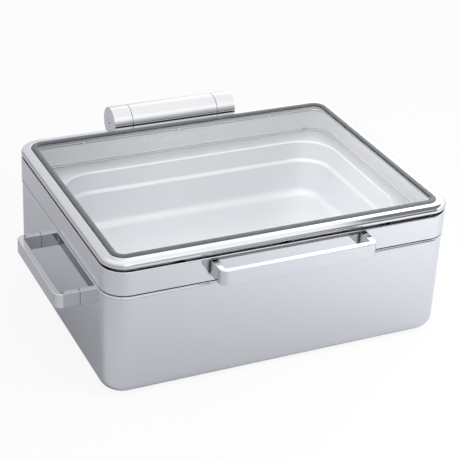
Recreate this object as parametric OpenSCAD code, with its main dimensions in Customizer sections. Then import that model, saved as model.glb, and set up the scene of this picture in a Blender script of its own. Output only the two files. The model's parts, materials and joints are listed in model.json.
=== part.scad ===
// Induction chafing dish: a deep-drawn steel base with a lift-out food pan, and a hinged lid
// with a glass window. Millimetres. Z is up, the lid's handle faces -Y, and the origin lies on
// the table under the middle of the base.

/* [Lid] */
// Width of the lid over its skirt
lid_w = 600; // [582:1:680]
// Depth of the lid over its skirt
lid_d = 460; // [454:1:520]
// Plan radius of the lid's corners
corner_r = 40; // [38:1:52]
// Height of the skirt band
skirt_h = 41.8; // [38:0.2:60]
// Width of the hem turned in along the skirt's foot
hem_w = 9; // [8:0.5:11]
// Open line between the skirt and the crowned frame
seam_gap = 3; // [0.8:0.1:4]
// Open line between the base's rim and the skirt's hem
lid_gap = 1.2; // [0.8:0.1:2]
// Diameter of the soft buttons under the hem
bumper_d = 6; // [4:0.5:7]

/* [Crowned frame and window] */
// Width of the crowned frame in plan
frame_w = 17; // [15:0.5:20]
// Upright lip at the frame's outer edge
lip_h = 4.4; // [4:0.1:7]
// Radius of the frame's outer roll
roll_r = 8; // [5:0.5:9]
// Slope of the frame's top, in degrees
crown_slope = 3; // [0:0.5:8]
// Radius of the frame's inner edge
edge_r = 1.8; // [1.5:0.1:2.5]
// Depth of the pocket that holds the gasket
pocket_depth = 8; // [7:0.5:9]
// Width of the shelf under the gasket
shelf_w = 8; // [6:0.5:9]
// Width of the gasket
gasket_w = 10; // [8:0.5:12]
// Thickness of the gasket's lips, above and below the glass
gasket_lip = 2.5; // [2:0.1:3]
// Thickness of the gasket's web, outside the glass's edge
gasket_web = 3; // [2:0.1:4]
// Thickness of the toughened glass
glass_t = 5; // [4:0.5:6]

/* [Base] */
// Height of the base's rim above the table
base_h = 181.5; // [165:0.5:210]
// Step from the lid's skirt in to the base's wall
base_inset = 1; // [0.5:0.5:2.5]
// Radius of the base's bottom edge
floor_r = 22; // [14:1:30]
// Thickness of the pressed steel
sheet_t = 1; // [0.8:0.1:1.2]
// Radius of the pressed bends, on their outer face
bend_r = 2.4; // [2:0.1:3]
// Height of the bead below the base's rim
bead_h = 4; // [3:0.5:6]
// How far the bead stands out of the base's wall
bead_out = 1.2; // [0.6:0.1:1.5]
// Width of the induction plate under the floor
plate_w = 460; // [300:5:500]
// Depth of the induction plate
plate_d = 320; // [220:5:350]
// Plan radius of the induction plate's corners
plate_r = 30; // [10:1:60]
// Thickness of the induction plate
plate_t = 3; // [2:0.5:5]

/* [Food pan and its frame] */
// From the lid's skirt in to the food pan's flange, at each end
rim_x = 35; // [32:0.5:50]
// From the lid's skirt in to the food pan's flange, before and behind
rim_y = 67.5; // [64:0.5:80]
// How deep the food pan is
pan_depth = 100; // [65:1:120]
// Thickness of the pan's steel
pan_t = 1; // [0.8:0.1:1.2]
// Width of the pan's flange, outside its wall
pan_flange_w = 11; // [9:0.5:14]
// Plan radius of the flange's corners
pan_flange_r = 50; // [35:1:60]
// Plan radius of the pan's wall at the top
pan_r = 60; // [52:1:70]
// Depth of the stacking shoulder below the flange
shoulder_depth = 37; // [20:1:45]
// Width of the stacking shoulder
shoulder_w = 5; // [3:0.5:7]
// How far each length of the wall draws in
pan_draft = 3; // [1:0.5:5]
// Radius of the pan's bottom edge
pan_floor_r = 18; // [10:1:22]
// Room outside the pan's rounded lip in the frame's cut-out
pan_clear = 0.5; // [0.3:0.1:1.5]
// Height of the frame's deck above the base's rim
deck_rise = 17.8; // [12:0.2:22]
// Land on the deck beside the pan's flange, at each end
land_x = 10; // [6:0.5:14]
// Land on the deck before and behind the pan's flange
land_y = 28.5; // [10:0.5:30]

/* [Handles] */
// Thickness of the flat bar
bar_t = 11; // [8:0.5:14]
// Height of the flat bar
bar_h = 25.5; // [20:0.5:30]
// Chamfer along the bar's edges
bar_edge = 1; // [0.5:0.1:1.5]
// Outer radius of the bar's bends
handle_bend_r = 14; // [12:1:24]
// Width of the lid's handle over its arms
front_span = 270; // [180:1:340]
// How far the lid's handle stands out
front_reach = 44; // [36:1:60]
// Drop from the skirt's top to the top of the lid's handle
front_drop = 2.5; // [1:0.5:6]
// Width of a side handle over its arms
side_span = 208; // [140:1:260]
// How far a side handle stands out
side_reach = 42; // [36:1:60]
// Height of the side handles' middle above the table
side_z = 116; // [70:1:140]

/* [Hinge] */
// Diameter of the hinge's barrel and knuckles
barrel_d = 58; // [50:1:66]
// Length of the barrel on the lid
barrel_len = 163; // [140:1:200]
// Length of each knuckle on the base
knuckle_len = 34.5; // [30:0.5:45]
// Side gap between the barrel and a knuckle
side_gap = 0.6; // [0.4:0.1:1]
// Gap from the lid's skirt to the barrel
hinge_gap = 1.5; // [1:0.1:4]
// Height of the hinge's axis above the skirt's top
hinge_rise = 10.5; // [4:0.5:16]
// Diameter of the hinge pin
pin_d = 16; // [12:0.5:18]
// Wall of the barrel's tube
tube_wall = 4; // [3:0.5:6]
// Length of the plugs in the barrel's ends
plug_len = 14; // [10:1:20]
// Wall of the bushes
bush_wall = 3; // [2:0.5:4]
// Thickness of the bushes' flanges
bush_flange_t = 1.5; // [1:0.1:2]
// Thickness of the thrust washers
thrust_t = 1.2; // [0.8:0.1:1.6]
// Length of the friction cartridge
cartridge_len = 70; // [40:1:90]
// Width of the barrel's mounting pad
pad_w = 130; // [110:1:136]
// Height of the pad below the skirt's top
pad_drop = 28; // [24:0.5:32]
// Height of a post's foot on the base's wall
foot_h = 66; // [50:1:80]
// Drop from the base's rim to the top of a post's foot
foot_drop = 12; // [8:1:24]
// Thickness of a post's foot
foot_t = 14; // [12:0.5:18]

/* [Fasteners] */
// Diameter of the M5 screws of the handles, posts and barrel
screw_d = 5; // [4:0.5:6]
// Diameter of the M4 screws of the crowned frame
frame_screw_d = 4; // [3:0.5:4]
// Diameter of the M8 screws in the hinge pin's ends
pin_screw_d = 8; // [6:0.5:8]
// Thickness of the backing plates behind thin walls
backing_t = 2; // [1.5:0.1:3]
// Thread engaged by a screw
thread_l = 12; // [8:0.5:14]
// Spacing of the frame's screws along the long sides
frame_pitch = 180; // [100:1:220]
// Diameter of the frame's screw bosses
boss_d = 7; // [6.6:0.1:8]

/* [Fits] */
// Radial clearance of the bushes and cartridge on the hinge pin
running_fit = 0.05; // [0.02:0.01:0.1]
// Radial clearance of pieces fixed in one another
seat_fit = 0.02; // [0.01:0.01:0.05]
// Radial clearance of screws in through holes
hole_fit = 0.25; // [0.1:0.05:0.5]
// Clearance of the gasket in its pocket and of the glass in the gasket
glass_fit = 0.2; // [0.1:0.05:0.4]
// Gap under the lid's soft buttons, and between the posts and the moving lid
touch_gap = 0.3; // [0.2:0.05:0.5]

/* [Hidden] */
$fn = 96;
// Straight steps that stand for a quarter bend, a bead and the gasket's crown
BEND_STEPS = 5;
BEAD_STEPS = 6;
CROWN_STEPS = 8;

base_w = lid_w - 2 * base_inset;
base_d = lid_d - 2 * base_inset;
base_r = corner_r - base_inset;

// Heights, from the table up
rim_z = base_h;
flange_z = rim_z + sheet_t;
deck_z = rim_z + deck_rise;
hem_z = flange_z + lid_gap;
skirt_z = hem_z + skirt_h;
frame_z = skirt_z + seam_gap;

// Crown of the frame: a roll at the outer edge, then a flat slope up to the gasket
roll_end_o = roll_r * (1 - sin(crown_slope));
roll_end_z = frame_z + lip_h + roll_r * cos(crown_slope);
function crown_z(o) = roll_end_z + (o - roll_end_o) * tan(crown_slope);
crown_top = crown_z(frame_w);
shelf_z = crown_top - pocket_depth;
glass_z = shelf_z + gasket_lip;
glass_top = glass_z + glass_t;

// Plan radii of the gasket's two sides and of the glass
gasket_out_r = corner_r - frame_w - glass_fit;
gasket_in_r = gasket_out_r - gasket_w;
glass_r = gasket_out_r - gasket_web - glass_fit;

// Pan and deck
pan_w = lid_w - 2 * rim_x;
pan_d = lid_d - 2 * rim_y;
wall_w = pan_w - 2 * pan_flange_w;
wall_d = pan_d - 2 * pan_flange_w;
deck_w = pan_w + 2 * land_x;
deck_d = pan_d + 2 * land_y;
deck_r = pan_r;
pan_floor_z = deck_z - pan_depth;
shoulder_z = deck_z - shoulder_depth;

// Handles
handle_in_r = handle_bend_r - bar_t;
front_z = skirt_z - front_drop - bar_h / 2;
front_arm_x = front_span / 2 - bar_t / 2;
side_arm_y = side_span / 2 - bar_t / 2;

// Hinge
barrel_r = barrel_d / 2;
hinge_y = lid_d / 2 + hinge_gap + barrel_r;
hinge_z = skirt_z + hinge_rise;
post_x = barrel_len / 2 + side_gap;
hinge_half = post_x + knuckle_len;
tube_r = barrel_r - tube_wall;
bush_r = pin_d / 2 + running_fit + bush_wall;
flange_r = bush_r + bush_wall;
plug_face = barrel_len / 2 - bush_flange_t - thrust_t - touch_gap + side_gap;
pin_cap_t = 6;
pin_half = hinge_half - pin_cap_t;
pad_z = skirt_z - pad_drop;
post_front_y = lid_d / 2 + hinge_gap - touch_gap;
foot_top = rim_z - foot_drop;
foot_z = foot_top - foot_h;

// Fasteners
head_d = 1.8 * screw_d;
head_h = 0.7 * screw_d;
frame_head_d = 1.75 * frame_screw_d;
frame_head_h = 0.6 * frame_screw_d;
pin_head_d = 1.75 * pin_screw_d;
pin_head_h = 0.5 * pin_screw_d;
pin_socket_d = 0.7 * pin_screw_d;
boss_o = (roll_end_o + frame_w - sheet_t) / 2;
boss_top = crown_z(boss_o) - sheet_t / 2;
top_flange_w = boss_o + frame_head_d / 2 + 1;
bumper_o = hem_w - bumper_d / 2 - 0.3;
foot_row_inset = 16;
pad_screws_x = [-pad_w * 0.38, -pad_w * 0.14, pad_w * 0.14, pad_w * 0.38];
pad_screw_z = pad_z + head_d / 2 + 2;
backing_w = 26;

// Points of an arc about c, from angle a0 to a1
function arc(c, r, a0, a1, n = BEND_STEPS) =
    [for (k = [0:n]) let (a = a0 + (a1 - a0) * k / n) c + r * [cos(a), sin(a)]];

// The path moved to its left by t, with mitred corners
function unit(v) = v / norm(v);
function left(v) = [-v[1], v[0]];
function step(p, i) = left(unit(p[i + 1] - p[i]));
function moved(p, t) = [for (i = [0:len(p) - 1])
    let (a = step(p, max(i - 1, 0)), b = step(p, min(i, len(p) - 2)), m = unit(a + b))
    p[i] + m * t / (m * a)];

// Section of a bent sheet: the path is one face, and the metal lies to its left
module sheet(path, t) {
    back = moved(path, t);
    polygon(concat(path, [for (i = [len(path) - 1:-1:0]) back[i]]));
}

// Sweeps a section round a rounded rectangle. The section's x is the distance out from a
// corner's centre, and its y is the height.
module around(w, d, r) {
    for (turn = [0, 180]) rotate(turn) {
        translate([w / 2 - r, 0, 0]) rotate([90, 0, 0])
            linear_extrude(d - 2 * r, center = true) children();
        rotate(90) translate([d / 2 - r, 0, 0]) rotate([90, 0, 0])
            linear_extrude(w - 2 * r, center = true) children();
        translate([w / 2 - r, d / 2 - r, 0]) rotate_extrude(angle = 90) children();
        translate([r - w / 2, d / 2 - r, 0]) rotate(90) rotate_extrude(angle = 90) children();
    }
}

// Flat plate with rounded corners, standing on z
module slab(w, d, r, z, h) {
    translate([0, 0, z]) {
        around(w, d, r) square([r, h]);
        translate([r - w / 2, r - d / 2, 0]) cube([w - 2 * r, d - 2 * r, h]);
    }
}

// Cylinder along +X, +Y or -Y from a point
module rod_x(p, d, l) translate(p) rotate([0, 90, 0]) cylinder(d = d, h = l);
module rod_y(p, d, l) translate(p) rotate([-90, 0, 0]) cylinder(d = d, h = l);

// Pan-head screw with its head's seat at p, its shank along +Y
module screw_y(p, grip) {
    rod_y(p, screw_d, grip + thread_l - 1);
    rod_y(p - [0, head_h, 0], head_d, head_h);
}

// Section of the handles' flat bar
module bar_section() {
    x = bar_t / 2;
    y = bar_h / 2;
    e = bar_edge;
    polygon([[-x + e, -y], [x - e, -y], [x, -y + e], [x, y - e],
        [x - e, y], [-x + e, y], [-x, y - e], [-x, -y + e]]);
}

// Bent bar whose arms end on the plane y = 0 and whose grip lies at -reach. Each arm's end is
// tapped for a screw.
module bent_bar(span, reach) {
    mid_r = handle_bend_r - bar_t / 2;
    arm_l = reach - handle_bend_r;
    difference() {
        for (side = [0, 1]) mirror([side, 0, 0]) {
            translate([span / 2 - bar_t / 2, 0, 0]) rotate([90, 0, 0])
                linear_extrude(arm_l) bar_section();
            translate([span / 2 - handle_bend_r, -arm_l, 0]) rotate(-90)
                rotate_extrude(angle = 90) translate([mid_r, 0]) bar_section();
            translate([0, -reach + bar_t / 2, 0]) rotate([0, 0, 90]) rotate([90, 0, 0])
                linear_extrude(span / 2 - handle_bend_r) bar_section();
        }
        for (side = [-1, 1])
            rod_y([side * (span / 2 - bar_t / 2), -thread_l, 0], screw_d + 2 * seat_fit, thread_l + 1);
    }
}

// Turns what faces the front, on y = 0, to the base's left or right wall
module on_side(side) {
    translate([side * base_w / 2, 0, side_z]) rotate(side * 90) children();
}

// Turns what faces the front to the back
module to_back() rotate(180) children();

// Clearance holes for M5 screws through a wall that faces the front at y
module wall_holes(places, y) {
    for (p = places) rod_y([p[0], y - 1, p[1]], screw_d + 2 * hole_fit, sheet_t + backing_t + 2);
}

side_places = [[-side_arm_y, 0], [side_arm_y, 0]];
front_places = [[-front_arm_x, front_z], [front_arm_x, front_z]];
pad_places = [for (x = pad_screws_x) [x, pad_screw_z]];
post_places = [for (x = [-1, 1], z = [foot_z + foot_row_inset, foot_top - foot_row_inset])
    [x * (post_x + knuckle_len / 2), z]];

// Base

module base_shell() {
    z0 = plate_t;
    bead = [for (k = [0:BEAD_STEPS])
        [base_r + bead_out * sin(180 * k / BEAD_STEPS), rim_z - bead_h * (1 - k / BEAD_STEPS)]];
    path = concat(arc([base_r - floor_r, z0 + floor_r], floor_r, -90, 0), bead);
    color("gainsboro") difference() {
        union() {
            around(base_w, base_d, base_r) sheet(path, sheet_t);
            slab(base_w - 2 * floor_r, base_d - 2 * floor_r, base_r - floor_r, z0, sheet_t);
        }
        for (side = [-1, 1]) on_side(side) wall_holes(side_places, 0);
        to_back() wall_holes(post_places, -base_d / 2);
    }
}

module induction_plate() color("dimgray") slab(plate_w, plate_d, plate_r, 0, plate_t);

// Pressed frame on the base's rim. Its raised deck carries the food pan by the flange.
module pan_frame() {
    cut_out = bend_r + pan_clear;
    foot = [deck_r + bend_r, flange_z + bend_r];
    shoulder = [deck_r - bend_r, deck_z - bend_r];
    path = concat(arc(foot, bend_r, -90, -180), arc(shoulder, bend_r, 0, 90));
    color("lightgray") {
        difference() {
            slab(base_w, base_d, base_r, rim_z, sheet_t);
            slab(deck_w + 2 * bend_r, deck_d + 2 * bend_r, deck_r + bend_r, rim_z - 1, sheet_t + 2);
        }
        around(deck_w, deck_d, deck_r) sheet(path, sheet_t);
        difference() {
            slab(deck_w - 2 * bend_r, deck_d - 2 * bend_r, deck_r - bend_r,
                deck_z - sheet_t, sheet_t);
            slab(wall_w + 2 * cut_out, wall_d + 2 * cut_out, pan_r + cut_out,
                deck_z - sheet_t - 1, sheet_t + 2);
        }
    }
}

// Deep-drawn pan: flat floor, drawn-in walls with a stacking shoulder, and a flat flange
module food_pan() {
    low_r = pan_r - 2 * pan_draft - shoulder_w;
    floor_edge = low_r - pan_floor_r;
    lip = [pan_r + bend_r, deck_z - bend_r];
    path = concat(
        arc([floor_edge, pan_floor_z + pan_floor_r], pan_floor_r, -90, 0),
        [[low_r + pan_draft, shoulder_z], [low_r + pan_draft + shoulder_w, shoulder_z + shoulder_w]],
        arc(lip, bend_r, 180, 90));
    color("silver") {
        around(wall_w, wall_d, pan_r) sheet(path, pan_t);
        slab(wall_w - 2 * (pan_r - floor_edge), wall_d - 2 * (pan_r - floor_edge), floor_edge,
            pan_floor_z, pan_t);
        difference() {
            slab(pan_w, pan_d, pan_flange_r, deck_z, pan_t);
            slab(wall_w + 2 * bend_r, wall_d + 2 * bend_r, pan_r + bend_r, deck_z - 1, pan_t + 2);
        }
    }
}

module side_handle(side) color("silver") on_side(side) bent_bar(side_span, side_reach);

module side_handle_left() side_handle(-1);

module side_handle_right() side_handle(1);

module side_handle_backing() {
    color("darkgray") for (side = [-1, 1]) on_side(side) difference() {
        for (p = side_places)
            translate([p[0] - backing_w / 2, sheet_t, -bar_h / 2]) cube([backing_w, backing_t, bar_h]);
        wall_holes(side_places, 0);
    }
}

module side_handle_screws() {
    color("gray") for (side = [-1, 1]) on_side(side) for (p = side_places)
        mirror([0, 1, 0]) screw_y([p[0], -sheet_t - backing_t, p[1]], sheet_t + backing_t);
}

// Cast post: a round knuckle for the pin on a leg that tapers to a foot on the base's back wall
module hinge_post() {
    wall_y = base_d / 2;
    spread = 0.6 * barrel_r;
    pin_hole = pin_d + 2 * seat_fit;
    difference() {
        translate([post_x, 0, 0]) rotate([90, 0, 90]) linear_extrude(knuckle_len) {
            translate([hinge_y, hinge_z]) circle(barrel_r);
            polygon([[wall_y, foot_z], [wall_y, foot_top - (post_front_y - wall_y)],
                [post_front_y, foot_top], [post_front_y, hinge_z - spread],
                [hinge_y, hinge_z], [hinge_y + spread, hinge_z - spread],
                [wall_y + foot_t, foot_z + foot_t], [wall_y + foot_t / 2, foot_z]]);
        }
        rod_x([post_x - 1, hinge_y, hinge_z], pin_hole, knuckle_len - pin_cap_t + 1);
        rod_x([post_x, hinge_y, hinge_z], pin_screw_d + 2 * hole_fit, knuckle_len + 1);
        rod_x([hinge_half - pin_head_h, hinge_y, hinge_z], pin_head_d + 2 * hole_fit, pin_head_h + 1);
        for (p = post_places) to_back()
            rod_y([-abs(p[0]), -wall_y - thread_l, p[1]], screw_d + 2 * seat_fit, thread_l + 1);
    }
}

module hinge_post_left() color("silver") mirror([1, 0, 0]) hinge_post();

module hinge_post_right() color("silver") hinge_post();

module post_backing() {
    color("darkgray") to_back() difference() {
        for (side = [-1, 1])
            translate([side * (post_x + knuckle_len / 2) - backing_w / 2, sheet_t - base_d / 2, foot_z])
                cube([backing_w, backing_t, foot_h]);
        wall_holes(post_places, -base_d / 2);
    }
}

module post_screws() {
    color("gray") for (p = post_places)
        screw_y([p[0], base_d / 2 - sheet_t - backing_t, p[1]], sheet_t + backing_t);
}

module hinge_pin() {
    color("lightgray") difference() {
        rod_x([-pin_half, hinge_y, hinge_z], pin_d, 2 * pin_half);
        for (side = [-1, 1]) mirror([side > 0 ? 0 : 1, 0, 0])
            rod_x([pin_half - thread_l - 1, hinge_y, hinge_z], pin_screw_d + 2 * seat_fit, thread_l + 2);
    }
}

module pin_screws() {
    color("dimgray") for (side = [0, 1]) mirror([side, 0, 0]) difference() {
        union() {
            rod_x([pin_half - thread_l, hinge_y, hinge_z], pin_screw_d, thread_l + pin_cap_t - pin_head_h);
            rod_x([hinge_half - pin_head_h, hinge_y, hinge_z], pin_head_d, pin_head_h);
        }
        translate([hinge_half - pin_head_h + 1, hinge_y, hinge_z]) rotate([0, 90, 0])
            cylinder(d = pin_socket_d, h = pin_head_h, $fn = 6);
    }
}

// Washers that stay with the posts and take the barrel's end thrust
module thrust_washers() {
    color("darkgoldenrod") for (side = [0, 1]) mirror([side, 0, 0]) difference() {
        rod_x([post_x - thrust_t, hinge_y, hinge_z], 2 * flange_r, thrust_t);
        rod_x([post_x - thrust_t - 1, hinge_y, hinge_z], pin_d + 2 * seat_fit, thrust_t + 2);
    }
}

// Lid

frame_places = concat([for (x = [-1:1], y = [-1, 1]) [x * frame_pitch, y * (lid_d / 2 - boss_o)]],
    [for (x = [-1, 1]) [x * (lid_w / 2 - boss_o), 0]]);
bumper_places = [for (x = [-1, 1], y = [-1, 1])
    [x * (lid_w / 2 - corner_r), y * (lid_d / 2 - bumper_o)]];
stem_d = bumper_d / 2;

module lid_skirt() {
    path = concat([[corner_r - hem_w, hem_z]],
        arc([corner_r - bend_r, hem_z + bend_r], bend_r, -90, 0),
        arc([corner_r - bend_r, skirt_z - bend_r], bend_r, 0, 90),
        [[corner_r - top_flange_w, skirt_z]]);
    color("gainsboro") difference() {
        around(lid_w, lid_d, corner_r) sheet(path, sheet_t);
        wall_holes(front_places, -lid_d / 2);
        to_back() wall_holes(pad_places, -lid_d / 2);
        for (p = frame_places) translate([p[0], p[1], skirt_z - 2 * sheet_t])
            cylinder(d = frame_screw_d + 2 * hole_fit, h = 3 * sheet_t);
        for (p = bumper_places) translate([p[0], p[1], hem_z - sheet_t])
            cylinder(d = stem_d, h = 3 * sheet_t);
    }
}

// Soft buttons pressed into the hem, which let the lid down on the base's rim
module lid_bumpers() {
    color("dimgray") for (p = bumper_places) translate([p[0], p[1], 0]) {
        translate([0, 0, flange_z + touch_gap]) cylinder(d = bumper_d, h = lid_gap - touch_gap);
        translate([0, 0, hem_z]) cylinder(d = stem_d - 2 * seat_fit, h = sheet_t);
        translate([0, 0, hem_z + sheet_t]) cylinder(d = bumper_d, h = lid_gap);
    }
}

// Crowned frame: curled foot, rolled outer edge, gently rising top, and a turned-down pocket
// with a shelf
module lid_frame() {
    in_r = corner_r - frame_w;
    edge_c = [in_r + edge_r, crown_top - edge_r * tan(crown_slope) - edge_r / cos(crown_slope)];
    path = concat(arc([corner_r - bend_r, frame_z + bend_r], bend_r, -90, 0),
        arc([corner_r - roll_r, frame_z + lip_h], roll_r, 0, 90 - crown_slope),
        arc(edge_c, edge_r, 90 - crown_slope, 180),
        arc([in_r - edge_r, shelf_z + edge_r], edge_r, 0, -90),
        [[in_r - shelf_w, shelf_z]]);
    color("whitesmoke") difference() {
        union() {
            around(lid_w, lid_d, corner_r) sheet(path, sheet_t);
            for (p = frame_places) translate([p[0], p[1], skirt_z])
                cylinder(d = boss_d, h = boss_top - skirt_z);
        }
        for (p = frame_places) translate([p[0], p[1], skirt_z - 1])
            cylinder(d = frame_screw_d + 2 * seat_fit, h = boss_top - sheet_t - skirt_z + 1);
    }
}

module frame_screws() {
    color("gray") for (p = frame_places) translate([p[0], p[1], skirt_z - sheet_t]) {
        cylinder(d = frame_screw_d, h = boss_top - skirt_z - sheet_t);
        translate([0, 0, -frame_head_h]) cylinder(d = frame_head_d, h = frame_head_h);
    }
}

// Silicone channel round the glass, with a crowned upper lip
module window_gasket() {
    slot_r = gasket_out_r - gasket_web;
    foot = edge_r + glass_fit;
    crown = [for (k = [0:CROWN_STEPS]) let (a = 180 * k / CROWN_STEPS)
        [gasket_out_r - gasket_w * (1 - cos(a)) / 2, glass_top + gasket_lip * (0.3 + 0.7 * sin(a))]];
    color("slategray") around(lid_w - 2 * (corner_r - gasket_out_r),
        lid_d - 2 * (corner_r - gasket_out_r), gasket_out_r) polygon(concat(
        [[gasket_out_r - foot, shelf_z], [gasket_out_r, shelf_z + foot]], crown,
        [[gasket_in_r, glass_top], [slot_r, glass_top], [slot_r, glass_z],
            [gasket_in_r + gasket_lip, glass_z], [gasket_in_r + gasket_lip, shelf_z]]));
}

module window_glass() {
    inset = corner_r - glass_r;
    color([0.85, 0.93, 0.93, 0.35])
        slab(lid_w - 2 * inset, lid_d - 2 * inset, glass_r, glass_z, glass_t);
}

module front_handle() {
    color("whitesmoke") translate([0, -lid_d / 2, front_z]) bent_bar(front_span, front_reach);
}

module front_handle_backing() {
    color("darkgray") difference() {
        for (p = front_places)
            translate([p[0] - backing_w / 2, sheet_t - lid_d / 2, front_z - backing_w / 4])
                cube([backing_w, backing_t, backing_w / 2]);
        wall_holes(front_places, -lid_d / 2);
    }
}

module front_handle_screws() {
    color("gray") for (p = front_places) mirror([0, 1, 0])
        screw_y([p[0], lid_d / 2 - sheet_t - backing_t, p[1]], sheet_t + backing_t);
}

// Polished tube with a pad that bolts to the back of the skirt
module hinge_barrel() {
    pad_back_y = hinge_y - barrel_r / 3;
    pad_top = skirt_z - sheet_t;
    color("whitesmoke") difference() {
        union() {
            rod_x([-barrel_len / 2, hinge_y, hinge_z], barrel_d, barrel_len);
            translate([-pad_w / 2, lid_d / 2, pad_z]) cube([pad_w, pad_back_y - lid_d / 2, pad_top - pad_z]);
        }
        rod_x([-barrel_len / 2 - 1, hinge_y, hinge_z], 2 * tube_r, barrel_len + 2);
        for (p = pad_places)
            rod_y([p[0], lid_d / 2 - 1, p[1]], screw_d + 2 * seat_fit, thread_l + 1);
    }
}

module barrel_plugs() {
    color("lightgray") for (side = [0, 1]) mirror([side, 0, 0]) difference() {
        rod_x([plug_face - plug_len, hinge_y, hinge_z], 2 * (tube_r - seat_fit), plug_len);
        rod_x([plug_face - plug_len - 1, hinge_y, hinge_z], 2 * (bush_r + seat_fit), plug_len + 2);
    }
}

module hinge_bushes() {
    color("peru") for (side = [0, 1]) mirror([side, 0, 0]) difference() {
        union() {
            rod_x([plug_face - plug_len, hinge_y, hinge_z], 2 * bush_r, plug_len);
            rod_x([plug_face, hinge_y, hinge_z], 2 * flange_r, bush_flange_t);
        }
        rod_x([plug_face - plug_len - 1, hinge_y, hinge_z], pin_d + 2 * running_fit, plug_len + bush_flange_t + 2);
    }
}

// Sleeve fixed in the barrel that grips the pin and holds the lid where it is left
module friction_cartridge() {
    color("gray") difference() {
        rod_x([-cartridge_len / 2, hinge_y, hinge_z], 2 * (tube_r - seat_fit), cartridge_len);
        rod_x([-cartridge_len / 2 - 1, hinge_y, hinge_z], pin_d + 2 * running_fit, cartridge_len + 2);
    }
}

module barrel_backing() {
    h = head_d + 4;
    color("darkgray") to_back() difference() {
        translate([-pad_w / 2, sheet_t - lid_d / 2, pad_screw_z - h / 2]) cube([pad_w, backing_t, h]);
        wall_holes(pad_places, -lid_d / 2);
    }
}

module barrel_screws() {
    color("gray") for (p = pad_places)
        screw_y([p[0], lid_d / 2 - sheet_t - backing_t, p[1]], sheet_t + backing_t);
}

base_shell();
induction_plate();
pan_frame();
food_pan();
side_handle_left();
side_handle_right();
side_handle_backing();
side_handle_screws();
hinge_post_left();
hinge_post_right();
post_backing();
post_screws();
hinge_pin();
pin_screws();
thrust_washers();
lid_skirt();
lid_bumpers();
lid_frame();
frame_screws();
window_gasket();
window_glass();
front_handle();
front_handle_backing();
front_handle_screws();
hinge_barrel();
barrel_plugs();
hinge_bushes();
friction_cartridge();
barrel_backing();
barrel_screws();
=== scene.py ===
import json
import math

import bmesh
import bpy
from mathutils import Matrix, Vector


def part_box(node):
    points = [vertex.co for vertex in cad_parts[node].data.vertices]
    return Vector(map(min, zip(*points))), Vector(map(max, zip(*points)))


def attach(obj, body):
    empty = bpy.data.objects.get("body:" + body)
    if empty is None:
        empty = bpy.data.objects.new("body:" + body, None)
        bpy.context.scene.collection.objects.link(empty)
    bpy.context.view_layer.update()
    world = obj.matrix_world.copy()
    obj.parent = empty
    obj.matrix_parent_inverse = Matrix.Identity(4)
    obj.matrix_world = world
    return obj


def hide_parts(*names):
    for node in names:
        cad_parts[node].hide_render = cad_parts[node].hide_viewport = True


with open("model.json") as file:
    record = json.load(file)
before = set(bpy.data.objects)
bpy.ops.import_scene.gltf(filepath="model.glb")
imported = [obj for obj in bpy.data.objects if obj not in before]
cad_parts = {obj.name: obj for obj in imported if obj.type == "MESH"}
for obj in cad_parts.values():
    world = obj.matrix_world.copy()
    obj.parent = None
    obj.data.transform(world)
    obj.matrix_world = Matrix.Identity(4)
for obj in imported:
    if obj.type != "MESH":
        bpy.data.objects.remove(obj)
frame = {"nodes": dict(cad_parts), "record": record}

bl_info = {
    "name": "Induction chafing dish",
    "version": (1, 0, 0),
    "blender": (4, 5, 0),
    "location": "View3D > Sidebar > Chafing dish",
    "description": "Models the visible pieces of the dish round the packed part, and sets the studio",
    "category": "Object",
}

MM = 0.001
# A point this near to a line or level lies on it, and points as near as SAME are one point.
NEAR = 0.05 * MM
SAME = 0.001 * MM
# Edges that turn more than SHARP are rounded, and those that turn less than BENT are shaded smooth.
SHARP, BENT = math.radians(55), math.radians(38)
# Axes on which a quarter of the dish is mirrored.
ALL_ROUND = (True, True, False)
# A wave texture of scale 1 repeats every 0.31 m.
WAVE = 0.31
# Setting of a node that blends softly from one value to the other.
SOFT = {"interpolation_type": "SMOOTHSTEP"}
# Finish that goes with each material slot.
FINISHES = {
    "plate_steel": "Ground ferritic stainless", "fastener_steel": "Plain stainless",
    "pin_steel": "Ground stainless pin", "bronze": "Sintered bronze",
    "silicone": "Moulded grey silicone", "polished_steel": "Mirror-polished stainless sheet",
    "polished_bar": "Mirror-polished stainless bar", "satin_steel": "Satin drawn stainless",
    "window": "Clear toughened glass"}
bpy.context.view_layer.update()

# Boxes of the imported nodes, which give every place that the pieces share with the part.
PLATE_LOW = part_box("induction_plate")[0]
BASE_LOW, BASE_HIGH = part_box("base_shell")
SEAT_LOW, SEAT_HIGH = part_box("pan_frame")
PAN_LOW, PAN_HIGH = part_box("food_pan")
SKIRT_LOW, SKIRT_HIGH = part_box("lid_skirt")
GASKET_LOW, GASKET_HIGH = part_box("window_gasket")
GLASS_LOW, GLASS_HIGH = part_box("window_glass")
FRONT_LOW, FRONT_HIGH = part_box("front_handle")
SIDE_LOW, SIDE_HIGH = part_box("side_handle_right")
BARREL_LOW, BARREL_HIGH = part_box("hinge_barrel")
POST_LOW, POST_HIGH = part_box("hinge_post_right")
PIN_LOW, PIN_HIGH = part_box("hinge_pin")
CROWN_SCREWS_LOW, CROWN_SCREWS_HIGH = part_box("frame_screws")
FRONT_SCREWS_LOW, FRONT_SCREWS_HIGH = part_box("front_handle_screws")
BARREL_SCREWS_LOW, BARREL_SCREWS_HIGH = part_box("barrel_screws")

HINGE_R = BARREL_HIGH.z - (PIN_LOW.z + PIN_HIGH.z) / 2
HINGE_Y = BARREL_HIGH.y - HINGE_R
HINGE_Z = BARREL_HIGH.z - HINGE_R


def linear(code):
    """Turn an sRGB hex code into a linear colour with full alpha."""
    steps = [int(code[i:i + 2], 16) / 255 for i in (1, 3, 5)]
    return [s / 12.92 if s <= 0.04045 else ((s + 0.055) / 1.055) ** 2.4 for s in steps] + [1.0]


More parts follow.
